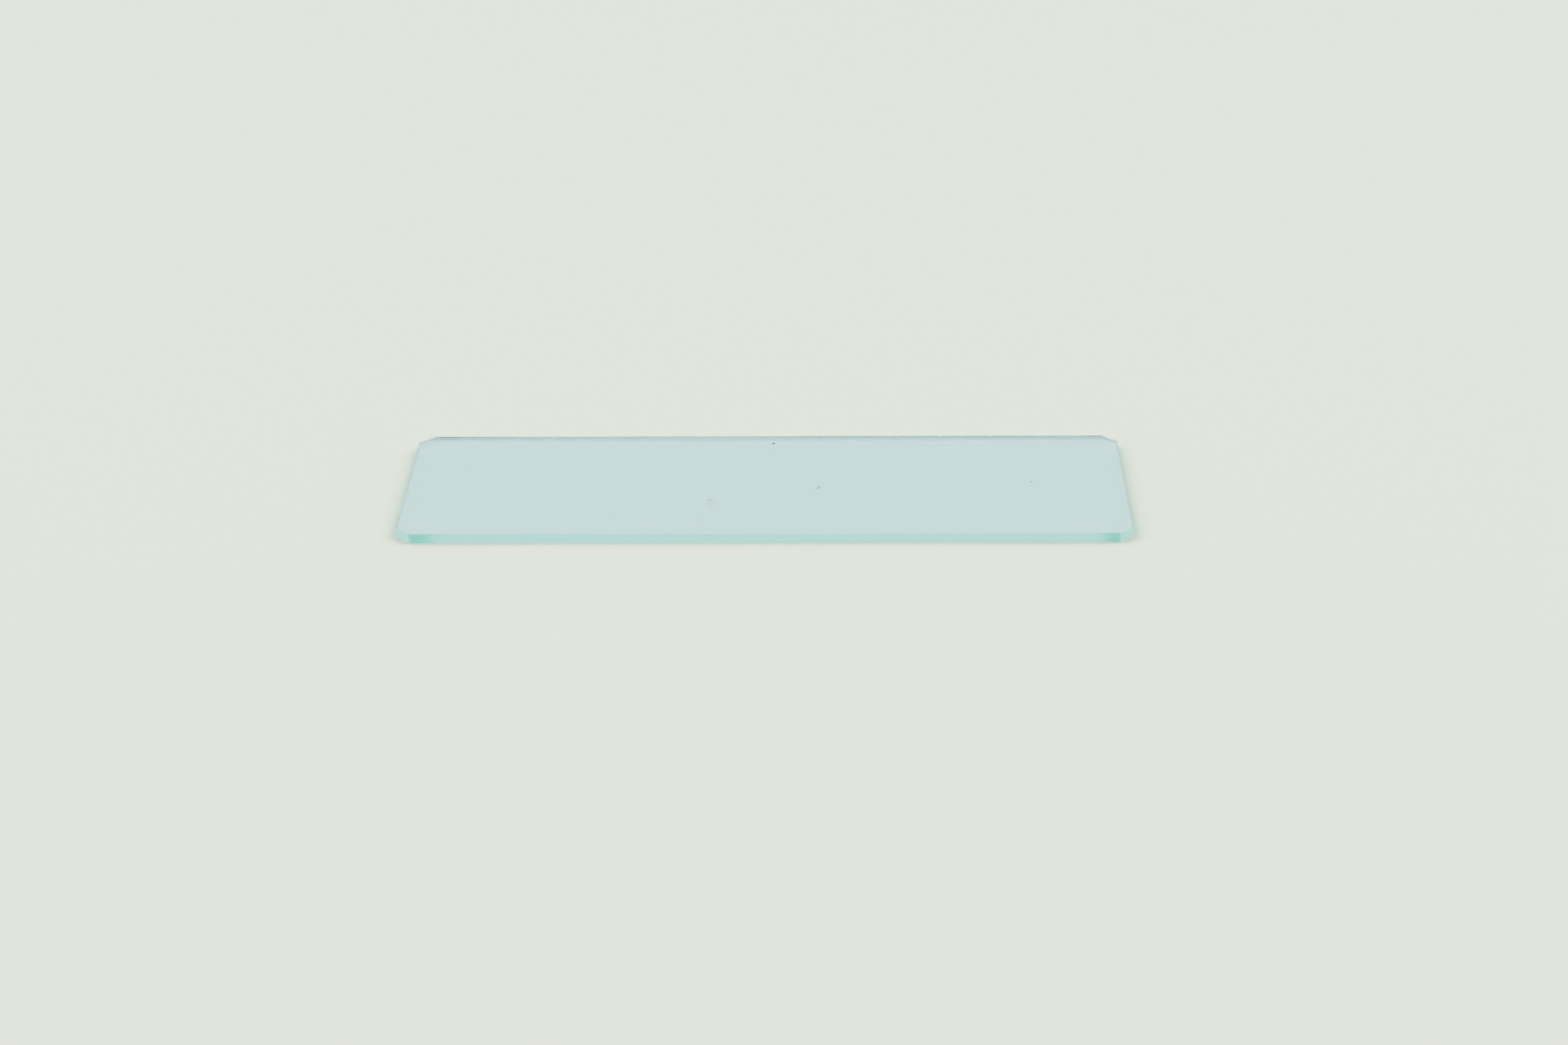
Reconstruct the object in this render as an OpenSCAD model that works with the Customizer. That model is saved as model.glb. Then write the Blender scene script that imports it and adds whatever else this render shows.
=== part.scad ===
// Microscope slide: one flat plate of clear soda-lime glass, cut to size, with its four
// corners clipped at 45 degrees and its sharp edges just dulled.
// It lies flat with its long side along X and the middle of its underside at the origin.

/* [Plate] */
// Length of the plate, along X
slide_length = 76; // [50:0.5:100]
// Width of the plate, along Y
slide_width = 26; // [18:0.5:50]
// Thickness of the glass, along Z
glass_thickness = 1; // [0.8:0.05:1.5]

/* [Cut edges] */
// How far each corner clip runs along the two sides that it joins
corner_clip = 1.5; // [0.5:0.1:4]
// Width of the 45 degree arris where each cut face meets the top and the bottom face
arris = 0.04; // [0.02:0.01:0.2]

/* [Hidden] */

// Pale teal, as the glass looks through its cut edge
glass_colour = [0.72, 0.87, 0.85];

// The cut faces come in parallel pairs. Each pair is [the direction that it faces, in
// degrees from X, and the distance between its two faces].
clip_angle = 45;
clip_span = (slide_length + slide_width - 2 * corner_clip) * sin(clip_angle);
cut_pairs = [
    [0, slide_length],
    [90, slide_width],
    [clip_angle, clip_span],
    [-clip_angle, clip_span]
];

// A strip of sheet glass this long reaches past the plate whichever way it is turned
strip_length = slide_length + slide_width;

// Section of a strip of sheet glass whose two cut faces are span apart
module strip_section(span) {
    side = span / 2;
    top = glass_thickness;
    polygon([
        [-side + arris, 0], [side - arris, 0],
        [side, arris], [side, top - arris],
        [side - arris, top], [-side + arris, top],
        [-side, top - arris], [-side, arris]
    ]);
}

// The plate is what is left of the sheet between all four pairs of cuts
module glass_slide() {
    color(glass_colour)
        intersection_for (pair = cut_pairs)
            rotate([90, 0, pair[0]])
                linear_extrude(strip_length, center = true)
                    strip_section(pair[1]);
}

glass_slide();
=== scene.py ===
# A clear glass microscope slide lying on a pale table, in plain soft studio light.
import math

import bpy
import numpy as np
from mathutils import Matrix, Vector


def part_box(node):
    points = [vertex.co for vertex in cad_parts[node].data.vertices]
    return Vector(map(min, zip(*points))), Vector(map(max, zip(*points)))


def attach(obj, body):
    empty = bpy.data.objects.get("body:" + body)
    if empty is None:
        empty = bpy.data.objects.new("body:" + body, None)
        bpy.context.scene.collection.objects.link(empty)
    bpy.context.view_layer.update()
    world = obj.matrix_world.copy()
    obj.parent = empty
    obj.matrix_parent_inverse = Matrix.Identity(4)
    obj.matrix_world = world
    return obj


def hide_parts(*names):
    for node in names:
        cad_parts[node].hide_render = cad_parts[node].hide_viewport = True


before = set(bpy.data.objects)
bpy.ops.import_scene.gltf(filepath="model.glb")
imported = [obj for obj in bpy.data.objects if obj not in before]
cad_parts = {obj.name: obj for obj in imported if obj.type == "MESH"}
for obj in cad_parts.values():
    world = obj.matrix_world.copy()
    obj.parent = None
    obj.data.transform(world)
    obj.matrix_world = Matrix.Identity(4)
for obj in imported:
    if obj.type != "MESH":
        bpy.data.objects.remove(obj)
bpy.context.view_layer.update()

mm = 0.001
rng = np.random.default_rng(26)


def linearColour(hexText):
    # "#rrggbb" as sRGB, to the linear red, green, blue and alpha that Blender wants
    srgb = np.array([int(hexText[i:i + 2], 16) for i in (1, 3, 5)]) / 255
    linear = np.where(srgb <= 0.04045, srgb / 12.92, ((srgb + 0.055) / 1.055) ** 2.4)
    return (*linear.tolist(), 1.0)


def addNode(tree, kind, links=None, values=None, **settings):
    # a node with its settings, its plain input values and its links {input: (node, output)}
    node = tree.nodes.new(kind)
    for name, value in settings.items():
        setattr(node, name, value)
    for name, value in (values or {}).items():
        node.inputs[name].default_value = value
    for name, (source, output) in (links or {}).items():
        tree.links.new(source.outputs[output], node.inputs[name])
    return node


def newMaterial(name):
    material = bpy.data.materials.new(name)
    material.use_nodes = True
    material.node_tree.nodes.clear()
    return material, material.node_tree


def addPiece(name, points, faces, material, sharpDegrees=None):
    # a mesh in the frame's metres, with its place in its points
    mesh = bpy.data.meshes.new(name)
    mesh.from_pydata(points.tolist(), [], faces)
    mesh.validate()
    mesh.shade_smooth()
    if sharpDegrees:
        mesh.set_sharp_from_angle(angle=math.radians(sharpDegrees))
    mesh.materials.append(material)
    piece = bpy.data.objects.new(name, mesh)
    bpy.context.scene.collection.objects.link(piece)
    return piece


def ringQuads(index):
    # quads between the rows of a grid of points whose rows are closed rings
    beside = np.roll(index, -1, axis=1)
    return np.stack([index[:-1], index[1:], beside[1:], beside[:-1]], axis=-1).reshape(-1, 4)


low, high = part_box("glass_slide")
topCentre = Vector(((low.x + high.x) / 2, (low.y + high.y) / 2, high.z))
thickness = (high.z - low.z) / mm

cameraView = {
    "lens": 79.6,        # mm
    "sensor": 36,        # mm wide
    "elevation": 24.1,   # degrees above the table
    "azimuth": 0.87,     # degrees round to the right of the slide's middle
    "roll": -0.46,       # degrees
    "distance": 367.1,   # mm from the lens to the slide's top face, along the view
    "leftOfAxis": 1.90,  # mm that the slide's middle lies left of the view's middle
    "aboveAxis": 4.13,   # mm that it lies above it
    "nearest": 0.01,     # m, where the view starts
    "furthest": 20,      # m, where it ends
}


def makeCamera(view):
    # back from the middle of the top face along the view, then aside in the view's plane
    az, el, roll = (math.radians(view[k]) for k in ("azimuth", "elevation", "roll"))
    back = Vector((math.sin(az) * math.cos(el), -math.cos(az) * math.cos(el), math.sin(el)))
    right = Vector((math.cos(az), math.sin(az), 0))
    up = back.cross(right)
    right, up = (right * math.cos(roll) + up * math.sin(roll),
                 up * math.cos(roll) - right * math.sin(roll))
    data = bpy.data.cameras.new("camera")
    data.sensor_width = view["sensor"]
    data.lens = view["lens"]
    data.clip_start = view["nearest"]
    data.clip_end = view["furthest"]
    camera = bpy.data.objects.new("camera", data)
    bpy.context.scene.collection.objects.link(camera)
    place = (topCentre + back * view["distance"] * mm + right * view["leftOfAxis"] * mm
             - up * view["aboveAxis"] * mm)
    turned = Matrix((right, up, back)).transposed().to_4x4()
    camera.matrix_world = Matrix.Translation(place) @ turned
    bpy.context.scene.camera = camera


makeCamera(cameraView)
print("camera placed")

glassLook = {
    "ior": 1.52,               # soda-lime glass
    "tint": "#f3fbff",         # of light that goes in and out again
    "throughEdge": "#a5f3e5",  # the glass absorbs what this colour lacks of white
    "density": 15.0,           # per metre, how strongly it does
    "cutRough": (0.28, 0.34),  # roughness of the cut faces, from their smooth to dull patches
    "cutPatch": 0.4,           # mm, size of those patches
    "patchEdges": (0.3, 0.7),  # levels of the noise between which smooth turns to dull
}


def sodaLimeGlass(look):
    # Sheet soda-lime glass with fire-bright faces. Its iron takes out red, 9% in each 10 mm,
    # so the plate is clear through its 1 mm and teal along its 26 and 76 mm. The cut faces
    # are finely rippled by the crack, which blurs what shows through them.
    material, tree = newMaterial("soda_lime_glass")
    place = addNode(tree, "ShaderNodeTexCoord")
    patches = addNode(tree, "ShaderNodeTexNoise", {"Vector": (place, "Object")},
                      {"Scale": 1 / (look["cutPatch"] * mm), "Detail": 2.0})
    dull = addNode(tree, "ShaderNodeMapRange", {"Value": (patches, "Fac")}, {
        "From Min": look["patchEdges"][0], "From Max": look["patchEdges"][1],
        "To Min": look["cutRough"][0], "To Max": look["cutRough"][1]})
    share = addNode(tree, "ShaderNodeAttribute", attribute_name="cutFace")
    rough = addNode(tree, "ShaderNodeMath", {0: (dull, "Result"), 1: (share, "Fac")},
                    operation="MULTIPLY")
    surface = addNode(tree, "ShaderNodeBsdfPrincipled", {"Roughness": (rough, "Value")}, {
        "Base Color": linearColour(look["tint"]), "IOR": look["ior"],
        "Transmission Weight": 1.0})
    inside = addNode(tree, "ShaderNodeVolumeAbsorption", values={
        "Color": linearColour(look["throughEdge"]), "Density": look["density"]})
    addNode(tree, "ShaderNodeOutputMaterial",
            {"Surface": (surface, "BSDF"), "Volume": (inside, "Volume")})
    return material


# the plate's eight sides, anticlockwise as seen from above
sideNames = ("frontRightClip", "rightEnd", "rearRightClip", "rear",
             "rearLeftClip", "leftEnd", "frontLeftClip", "front")

plate = {
    "longStep": 0.06,       # mm between columns of points along the long edges
    "endStep": 0.09,        # mm along the short ends
    "clipStep": 0.05,       # mm along the corner clips
    "faceRows": 13,         # rows of points down a cut face, between its two arrises
    "crowding": 1.35,       # power that draws those rows towards the top
    "arrisTurns": (0, 30, 60, 90),    # degrees round an arris, for its points
    "band": 0.6,            # mm, width of the rows on the flat faces that meet the cut
    "bandRows": (1, 0.5, 0.25, 0.1),  # where they lie in it, the last one next to the arris
    "reliefReach": 0.1,     # mm in from the cut, to where the flat faces follow all its relief

    "arris": 0.010,         # mm, how far the sharp edges are dulled
    "nibble": 0.06,         # mm more where the scored edge is nibbled
    "nibbleLength": 0.13,   # mm along the edge from one nibble to the next
    "nibbleBelow": 0.4,     # share of its depth that a nibble has on the lower edge
    "nibbleShift": 977,     # columns by which the lower edge's nibbles are moved on

    "wander": 0.010,        # mm that a snapped face wanders off a straight line
    "wanderWaves": (6.5, 2.3),  # mm for a radian of its slow and of its quicker wave
    "wanderQuick": 0.375,   # share of the quicker one
    "lean": 0.010,          # mm that it leans to and fro between bottom and top
    "leanWaves": (9, 3.1),      # the same two for this
    "leanQuick": 0.3,
    "ripple": 0.0012,       # mm, height of the ripples that the running crack left
    "rippleLength": 1.3,    # mm from one ripple to the next
    "rippleBow": 0.5,       # mm that a ripple is ahead at the bottom
    "snapFade": 1.0,        # mm from a corner over which all these grow

    "flare": 0.018,         # mm that the top of a scored face stands proud of the face below
    "flareVaries": 0.15,    # share by which it does so more or less
    "flareLength": 0.9,     # mm along the edge from more to less
    "flareDepth": 0.33,     # mm down to the foot of that flare
    "depthVaries": 0.08,    # share by which the foot is deeper or less deep
    "depthLength": 2.1,     # mm along the edge from one to the other
    "flareFade": 0.25,      # mm from a corner over which the flare grows

    "hackle": 0.010,        # mm, roughness of the nipped corner clips
    "hackleSizes": (0.45, 0.17),  # mm across its shell-like hollows and the finer ones
    "hackleFine": 0.5,      # share of its depth in the finer ones
    "hackleGrain": 0.08,    # share in the grain inside them
    "hackleFade": 0.15,     # mm from a corner over which it grows
    "clipLean": {"rearRightClip": 0.015},  # mm that a clip leans in at the bottom

    "dull": {               # share of the material's roughness on each side
        "frontRightClip": 1, "rightEnd": 0.6, "rearRightClip": 0.3, "rear": 0.8,
        "rearLeftClip": 0.3, "leftEnd": 0.6, "frontLeftClip": 1, "front": 1,
    },
    "mirror": 0.55,         # the rear's own share of that just under its score
    "mirrorDepth": 0.3,     # mm down that it stays so
    "mirrorFade": 0.15,     # mm further down to where the face is as dull as the rest

    "chips": [              # side, mm along it, mm down, mm of radius
        ("front", 0.10, 0.05, 0.24),
        ("rearLeftClip", 0.10, 0.00, 0.18),
        ("rear", 41.0, 0.00, 0.12),
        ("front", 55.3, 0.00, 0.10),
        ("rightEnd", 16.2, 0.00, 0.12),
    ],
    "chipOut": 0.3,         # share of its radius that a chip's centre lies outside the edge
}


def readOutline():
    # half length, half width and clip leg of the plate, read off the frame's own mesh
    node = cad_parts["glass_slide"]
    points = np.array([v.co for v in node.data.vertices])
    closeBy = 1e-6
    onRear = points[:, 1] > high.y - closeBy
    return (high.x - low.x) / 2, (high.y - low.y) / 2, high.x - points[onRear, 0].max()


def eased(part):
    # 0 to 1 with no slope at either end
    part = np.clip(part, 0, 1)
    return part * part * (3 - 2 * part)


def smoothNoise(along, spacing):
    # random heights from 0 to 1 at knots that are spacing apart, eased from knot to knot
    knots = rng.random(int(along.max() / spacing) + 2)
    first = (along / spacing).astype(int)
    part = eased(along / spacing - first)
    return knots[first] * (1 - part) + knots[first + 1] * part


def smoothPatches(along, down, spacing):
    # the same over a face: knots on a square grid, eased along it and down it
    knots = rng.random((int(along.max() / spacing) + 2, int(down.max() / spacing) + 2))
    i, j = (along / spacing).astype(int), (down / spacing).astype(int)
    u, v = eased(along / spacing - i), eased(down / spacing - j)
    return ((knots[i, j] * (1 - u) + knots[i + 1, j] * u) * (1 - v)
            + (knots[i, j + 1] * (1 - u) + knots[i + 1, j + 1] * u) * v)


def varied(share, noise):
    # 1, less share where the noise is 0 and more by as much where it is 1
    return 1 + share * (2 * noise - 1)


def onLongEdge(side):
    # the rear and the front are every fourth side
    return side % 4 == 3


def onClip(side):
    # every other side is a corner clip
    return side % 2 == 0


def cutColumns(shape):
    # The octagon's eight sides, each cut into columns. A column has its side, its distance
    # along it and the side's length in mm, its point on the outline, and its inward step for
    # each metre of inset, which turns from one corner's mitre to the next.
    a, b, c = readOutline()
    corners = np.array([(a - c, -b), (a, c - b), (a, b - c), (a - c, b),
                        (c - a, b), (-a, b - c), (-a, c - b), (c - a, -b)])
    corners += (topCentre.x, topCentre.y)
    ends = np.roll(corners, -1, axis=0)
    lengths = np.linalg.norm(ends - corners, axis=1)
    runs = (ends - corners) / lengths[:, None]
    normals = np.stack([runs[:, 1], -runs[:, 0]], axis=1)
    before = np.roll(normals, 1, axis=0)
    mitres = (before + normals) / (1 + (before * normals).sum(1))[:, None]
    steps = [shape[k] * mm for k in ("clipStep", "endStep", "clipStep", "longStep")] * 2
    parts = []
    for k in range(len(corners)):
        share = (np.arange(0, lengths[k], steps[k]) / lengths[k])[:, None]
        parts.append(np.hstack([
            np.full_like(share, k), share * lengths[k],
            (1 - share) * corners[k] + share * ends[k],
            -(1 - share) * mitres[k] - share * mitres[(k + 1) % len(corners)]]))
    columns = np.vstack(parts)
    side, along = columns[:, 0].astype(int), columns[:, 1]
    return side, along / mm, lengths[side] / mm, columns[:, 2:4], columns[:, 4:6]


def edgeProfile(shape, side, along):
    # Out over the top face, round the arris as a quarter circle, down the cut face, round
    # the lower arris and in under the bottom face. Each point is an inset from the outline
    # and a depth below the top face, both in mm. The long edges' arrises widen where nibbled.
    nibble = smoothNoise(along, shape["nibbleLength"]) ** 4 * onLongEdge(side)
    nibbleBelow = shape["nibbleBelow"] * np.roll(nibble, shape["nibbleShift"])
    topArris = shape["arris"] + shape["nibble"] * nibble
    lowArris = shape["arris"] + shape["nibble"] * nibbleBelow
    band = np.array(shape["bandRows"])[:, None]
    turn = np.radians(shape["arrisTurns"])[:, None]
    down = (np.linspace(0, 1, shape["faceRows"] + 2)[1:-1] ** shape["crowding"])[:, None]
    flat = np.zeros((len(band), len(along)))
    inset = np.vstack([
        topArris + (shape["band"] - topArris) * band,
        topArris * (1 - np.sin(turn)),
        np.zeros((len(down), len(along))),
        lowArris * (1 - np.sin(turn[::-1])),
        lowArris + (shape["band"] - lowArris) * band[::-1]])
    depth = np.vstack([
        flat,
        topArris * (1 - np.cos(turn)),
        topArris + (thickness - topArris - lowArris) * down,
        thickness - lowArris * (1 - np.cos(turn[::-1])),
        flat + thickness])
    return inset, depth


def twoWaves(along, lengths, quickShare, phase):
    # a slow sine and a quicker one, whose heights add up to 1
    slow = np.sin(along / lengths[0] + phase[:, 0])
    quick = np.sin(along / lengths[1] + phase[:, 1])
    return (1 - quickShare) * slow + quickShare * quick


def snappedRelief(shape, side, along, depth):
    # a wandering line, a twist, and ripples that bow as the crack's front did
    fall = depth / thickness
    phase = rng.random((len(sideNames), 4))[side] * 2 * math.pi
    wave = twoWaves(along, shape["wanderWaves"], shape["wanderQuick"], phase[:, :2])
    twist = twoWaves(along, shape["leanWaves"], shape["leanQuick"], phase[:, 2:])
    ripples = (along + shape["rippleBow"] * fall ** 2) / shape["rippleLength"]
    return (shape["wander"] * (1 + wave) + shape["lean"] * (1 + twist * (1 - 2 * fall))
            + shape["ripple"] * (1 + np.sin(2 * math.pi * ripples)))


def scoredRelief(shape, along, depth):
    # a long edge flares out to the score along its top, with an eased slope
    foot = varied(shape["depthVaries"], smoothNoise(along, shape["depthLength"]))
    width = varied(shape["flareVaries"], smoothNoise(along, shape["flareLength"]))
    return shape["flare"] * width * eased(depth / (shape["flareDepth"] * foot))


def nippedRelief(shape, along, depth):
    # shell-like hollows, with finer ones and a grain inside them
    along = np.broadcast_to(along, depth.shape)
    coarse, fine = (smoothPatches(along, depth, size) for size in shape["hackleSizes"])
    grain = rng.random(depth.shape)
    return shape["hackle"] * (coarse + shape["hackleFine"] * fine
                              + shape["hackleGrain"] * grain)


def cutRelief(shape, side, along, length, depth):
    # how far each point is set in by the way its side was cut, in mm
    fromEnd = np.minimum(along, length - along)
    snapped = snappedRelief(shape, side, along, depth) * eased(fromEnd / shape["snapFade"])
    scored = scoredRelief(shape, along, depth) * eased(fromEnd / shape["flareFade"])
    nipped = nippedRelief(shape, along, depth) * eased(fromEnd / shape["hackleFade"])
    lean = np.array([shape["clipLean"].get(name, 0) for name in sideNames])[side]
    return np.where(onClip(side), nipped + lean * depth / thickness,
                    snapped + scored * onLongEdge(side))


def chipped(shape, points, side, along, outline, inward):
    # What lies inside a ball at the edge is pushed out to the ball's own surface, but not
    # past the plate's true size.
    for name, chipAlong, chipDepth, radius in shape["chips"]:
        column = np.flatnonzero(side == sideNames.index(name))
        column = column[np.argmin(np.abs(along[column] - chipAlong))]
        out = shape["chipOut"] * radius
        centre = np.append(outline[column] - out * mm * inward[column],
                           high.z - (chipDepth - out) * mm)
        away = points - centre
        reach = np.linalg.norm(away, axis=2, keepdims=True)
        points = np.where(reach < radius * mm, centre + away / reach * radius * mm, points)
    return np.clip(points, low, high)


def setFinish(mesh, shape, side, depth):
    # Each face's share of the material's roughness: none on the flat faces, and less on the
    # rear face just under its score, where the crack ran mirror-smooth.
    middle = (depth[:-1] + depth[1:]) / 2
    belowMirror = eased((middle - shape["mirrorDepth"]) / shape["mirrorFade"])
    mirror = shape["mirror"] + (1 - shape["mirror"]) * belowMirror
    dull = np.array([shape["dull"][name] for name in sideNames])[side]
    share = dull * np.where(side == sideNames.index("rear"), mirror, 1)
    flatRows = len(shape["bandRows"])
    share[:flatRows] = share[-flatRows:] = 0
    share = np.append(share.ravel(), (0, 0))  # the top and the bottom come last
    mesh.polygons.foreach_set("use_smooth", share > 0)
    cutFace = mesh.attributes.new("cutFace", "FLOAT", "FACE")
    cutFace.data.foreach_set("value", share.astype(np.float32))


def makePlate(shape, material):
    # A profile carried round the outline, with each point set in further by the relief of
    # its cut. Rows on the flat faces follow that relief less and less.
    side, along, length, outline, inward = cutColumns(shape)
    inset, depth = edgeProfile(shape, side, along)
    onRim = np.clip((shape["band"] - inset) / (shape["band"] - shape["reliefReach"]), 0, 1)
    inset = inset + cutRelief(shape, side, along, length, depth) * onRim
    plan = outline + inset[:, :, None] * mm * inward
    points = np.concatenate([plan, (high.z - depth * mm)[:, :, None]], axis=2)
    points = chipped(shape, points, side, along, outline, inward)

    index = np.arange(depth.size).reshape(depth.shape)
    faces = ringQuads(index).tolist() + [index[0].tolist(), index[-1, ::-1].tolist()]
    piece = addPiece("cut_plate", points.reshape(-1, 3), faces, material, sharpDegrees=40)
    setFinish(piece.data, shape, side, depth)
    return piece


glass = sodaLimeGlass(glassLook)
cutPlate = makePlate(plate, glass)
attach(cutPlate, "root")
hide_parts("glass_slide")
print("plate cut:", len(cutPlate.data.polygons), "faces")

dust = {
    "turns": 28,            # points round a speck
    "rings": 14,            # rings of faces from its top to its bottom
    "swell": [              # sines that swell its radius: times the turn, times the fall, share
        (2, 0, 0.22),
        (3, 0, 0.16),
        (5, 2, 0.10),
        (9, -4, 0.06),
    ],
    "rim": 0.25,            # share of its height at which a speck is widest
    "gap": 0.002,           # mm of air under it
    "grain": 0.03,          # mm, size of the fluff that shows on it
    "mottle": (0.6, 1.4),   # how dark and how light the fluff makes its colour
    "specks": [      # mm: place on the plate, length, width, height; degrees turned; colour
        (0.63, 10.89, 0.26, 0.15, 0.07, -25, "#474d48"),
        (-5.84, -4.39, 0.62, 0.40, 0.04, 10, "#cdc1c3"),
        (5.56, -1.11, 0.64, 0.17, 0.04, 52, "#a2b3b1"),
        (28.01, 0.33, 0.25, 0.19, 0.05, -35, "#9babaa"),
    ],
}


def lintFluff(look):
    # matt lint: soft-edged and without a highlight, its own colour mottled by the fluff
    material, tree = newMaterial("lint")
    own = addNode(tree, "ShaderNodeAttribute", attribute_name="speckColour")
    place = addNode(tree, "ShaderNodeTexCoord")
    fluff = addNode(tree, "ShaderNodeTexNoise", {"Vector": (place, "Object")},
                    {"Scale": 1 / (look["grain"] * mm), "Detail": 3.0})
    shade = addNode(tree, "ShaderNodeMapRange", {"Value": (fluff, "Fac")},
                    {"To Min": look["mottle"][0], "To Max": look["mottle"][1]})
    mottled = addNode(tree, "ShaderNodeVectorMath",
                      {0: (own, "Color"), 1: (shade, "Result")}, operation="MULTIPLY")
    surface = addNode(tree, "ShaderNodeBsdfPrincipled", {"Base Color": (mottled, "Vector")},
                      {"Roughness": 1.0, "Specular IOR Level": 0.1})
    addNode(tree, "ShaderNodeOutputMaterial", {"Surface": (surface, "BSDF")})
    return material


def makeSpeck(look, x, y, length, width, height, degrees):
    # An ellipsoid over a grid of turns and of rings from pole to pole. Its radius swells by
    # sines of the turn and the fall, and its lower half is pressed nearly flat.
    turn = np.linspace(0, 2 * math.pi, look["turns"], endpoint=False)[None, :]
    fall = np.linspace(0, math.pi, look["rings"] + 1)[1:-1][:, None]
    swell = 1
    phases = rng.random(len(look["swell"])) * 2 * math.pi
    for (turnTimes, fallTimes, share), phase in zip(look["swell"], phases):
        swell = swell + share * np.sin(turnTimes * turn + fallTimes * fall + phase)
    up = np.cos(fall) * np.ones_like(turn)
    along = length / 2 * swell * np.sin(fall) * np.cos(turn)
    across = width / 2 * swell * np.sin(fall) * np.sin(turn)
    rim = look["rim"]
    raised = height * (rim + (1 - rim) * np.maximum(up, 0) + rim * np.minimum(up, 0))
    angle = math.radians(degrees)
    rings = np.stack([x + along * math.cos(angle) - across * math.sin(angle),
                      y + along * math.sin(angle) + across * math.cos(angle),
                      raised + look["gap"]], axis=-1).reshape(-1, 3)
    poles = np.array([(x, y, height + look["gap"]), (x, y, look["gap"])])
    index = np.arange(len(rings)).reshape(up.shape)
    beside = np.roll(index, -1, axis=1)
    top, bottom = np.full(look["turns"], len(rings)), np.full(look["turns"], len(rings) + 1)
    faces = [ringQuads(index), np.stack([top, index[0], beside[0]], axis=-1),
             np.stack([bottom, beside[-1], index[-1]], axis=-1)]
    return np.vstack([rings, poles]), faces


def makeDust(look):
    # all the specks in one mesh, each with its own colour on its points
    allPoints, allFaces, colours = [], [], []
    for *form, colour in look["specks"]:
        points, faces = makeSpeck(look, *form)
        first = sum(len(p) for p in allPoints)
        allFaces += [face for part in faces for face in (part + first).tolist()]
        allPoints.append(points)
        colours.append(np.tile(linearColour(colour), (len(points), 1)))
    points = np.vstack(allPoints) * mm + (topCentre.x, topCentre.y, high.z)
    piece = addPiece("dust_specks", points, allFaces, lintFluff(look))
    own = piece.data.attributes.new("speckColour", "FLOAT_COLOR", "POINT")
    own.data.foreach_set("color", np.vstack(colours).astype(np.float32).ravel())
    return piece


dustSpecks = makeDust(dust)
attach(dustSpecks, "root")
print("dust laid")

studio = {
    "horizon": "#e1e4dc",          # the room's light at the height of the table
    "wall": "#cddbdf",             # further up
    "wallHeights": (0.2, 0.42),    # sines of the elevations between which it is even
    "ceiling": "#f5f4f3",          # overhead
    "ceilingHeight": 0.75,         # sine of the elevation from which it is even
    "viewerSide": "#8f9a9c",       # the darker room behind the camera
    "viewerFade": (-0.70, -0.88),  # Y of the directions over which it darkens
    "viewerRise": (0.08, 0.25),    # Z of those over which it does, from the table upwards
}

table = {
    "colour": "#e0e2db",
    "roughness": 0.9,
    "specular": 0.2,
    "radius": 4.0,        # m
    "corners": 96,
    "gap": 0.02,          # mm of air under the slide
    "fade": (0.45, 1.8),  # m from the middle, over which it turns into the room's horizon
}

softboxes = {
    "places": {"softbox_left": (-1.0, 0.15, 1.1), "softbox_right": (1.0, 0.15, 1.1)},  # m
    "size": 1.0,          # m square
    "colour": "#fff6ea",
    "power": 3.8,         # watts each
}


def paintedTable(look):
    # a matt painted board, even and pale, which is lost in the room's own light far off
    material, tree = newMaterial("matt_paint")
    paint = addNode(tree, "ShaderNodeBsdfPrincipled", values={
        "Base Color": linearColour(look["colour"]), "Roughness": look["roughness"],
        "Specular IOR Level": look["specular"]})
    far = addNode(tree, "ShaderNodeEmission", values={
        "Color": linearColour(studio["horizon"])})
    place = addNode(tree, "ShaderNodeTexCoord")
    reach = addNode(tree, "ShaderNodeVectorMath", {0: (place, "Object")}, operation="LENGTH")
    share = addNode(tree, "ShaderNodeMapRange", {"Value": (reach, "Value")},
                    {"From Min": look["fade"][0], "From Max": look["fade"][1]},
                    interpolation_type="SMOOTHSTEP")
    surface = addNode(tree, "ShaderNodeMixShader",
                      {"Fac": (share, "Result"), 1: (paint, "BSDF"), 2: (far, "Emission")})
    addNode(tree, "ShaderNodeOutputMaterial", {"Surface": (surface, "Shader")})
    return material


def makeTable(look):
    # a flat round board, its corners evenly round a circle
    turn = np.linspace(0, 2 * math.pi, look["corners"], endpoint=False)
    points = np.column_stack([look["radius"] * np.cos(turn), look["radius"] * np.sin(turn),
                              np.full_like(turn, low.z - look["gap"] * mm)])
    board = addPiece("table", points, [list(range(look["corners"]))], paintedTable(look))


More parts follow.
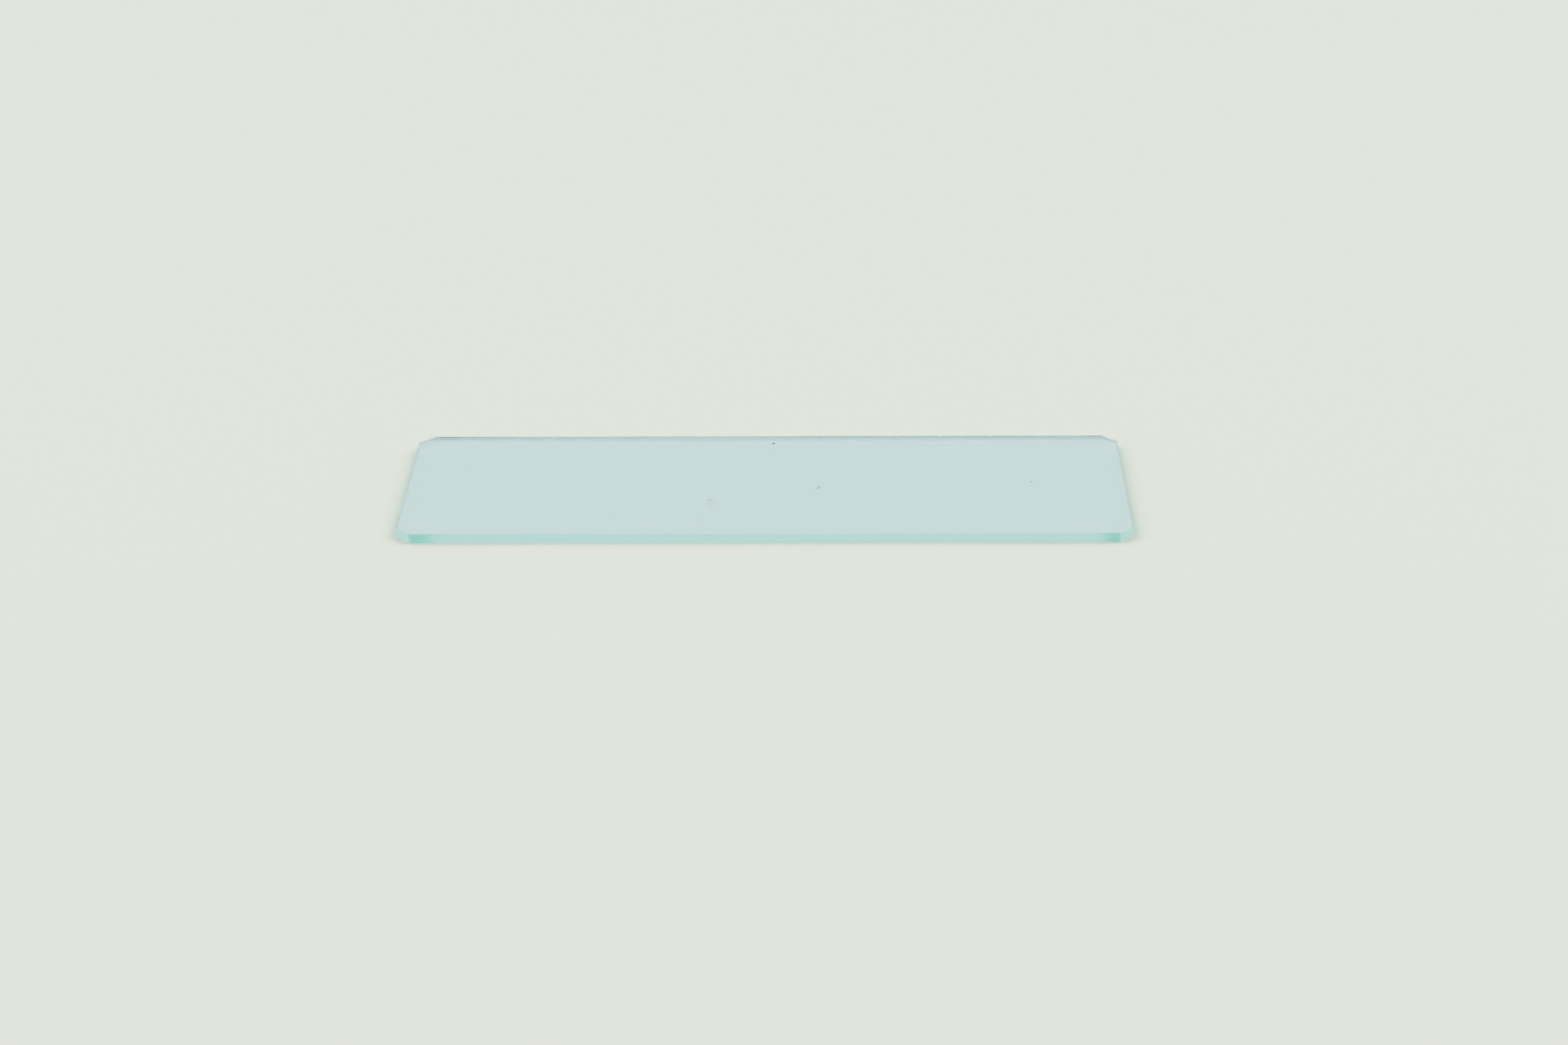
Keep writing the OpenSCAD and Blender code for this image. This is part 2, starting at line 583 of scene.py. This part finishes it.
def makeWorld(look):
    # light by direction: its height sets the tone, and it is darker on the viewer's side
    world = bpy.data.worlds.new("studio")
    world.use_nodes = True
    tree = world.node_tree
    tree.nodes.clear()
    place = addNode(tree, "ShaderNodeTexCoord")
    axes = addNode(tree, "ShaderNodeSeparateXYZ", {"Vector": (place, "Generated")})
    tones = addNode(tree, "ShaderNodeValToRGB", {"Fac": (axes, "Z")})
    tones.color_ramp.interpolation = "EASE"
    stops = tones.color_ramp.elements
    stops[0].position, stops[0].color = 0.0, linearColour(look["horizon"])
    stops[1].position, stops[1].color = look["ceilingHeight"], linearColour(look["ceiling"])
    for height in look["wallHeights"]:
        stops.new(height).color = linearColour(look["wall"])
    toViewer = addNode(tree, "ShaderNodeMapRange", {"Value": (axes, "Y")},
                       {"From Min": look["viewerFade"][0], "From Max": look["viewerFade"][1]},
                       interpolation_type="SMOOTHSTEP")
    raised = addNode(tree, "ShaderNodeMapRange", {"Value": (axes, "Z")},
                     {"From Min": look["viewerRise"][0], "From Max": look["viewerRise"][1]},
                     interpolation_type="SMOOTHSTEP")
    behind = addNode(tree, "ShaderNodeMath", {0: (toViewer, "Result"), 1: (raised, "Result")},
                     operation="MULTIPLY")
    room = addNode(tree, "ShaderNodeMix",  # its colours are inputs 6 and 7 and output 2
                   {"Factor": (behind, "Value"), 6: (tones, "Color")},
                   {7: linearColour(look["viewerSide"])}, data_type="RGBA")
    light = addNode(tree, "ShaderNodeBackground", {"Color": (room, 2)})
    addNode(tree, "ShaderNodeOutputWorld", {"Surface": (light, "Background")})
    bpy.context.scene.world = world


def makeLamp(name, place, look):
    # a square softbox that faces the middle of the slide
    data = bpy.data.lights.new(name, "AREA")
    data.shape = "SQUARE"
    data.size = look["size"]
    data.energy = look["power"]
    data.color = linearColour(look["colour"])[:3]
    lamp = bpy.data.objects.new(name, data)
    bpy.context.scene.collection.objects.link(lamp)
    lamp.location = place
    lamp.rotation_mode = "QUATERNION"
    lamp.rotation_quaternion = (topCentre - Vector(place)).to_track_quat("-Z", "Y")


makeTable(table)
makeWorld(studio)
for name, place in softboxes["places"].items():
    makeLamp(name, place, softboxes)

scene = bpy.context.scene
scene.view_settings.view_transform = "Standard"
scene.cycles.max_bounces = 56           # light runs to and fro along the thin plate
scene.cycles.glossy_bounces = 56
scene.cycles.transmission_bounces = 32
scene.cycles.blur_glossy = 0.0          # keeps clear glass clear for light that left the table
print("stage set")
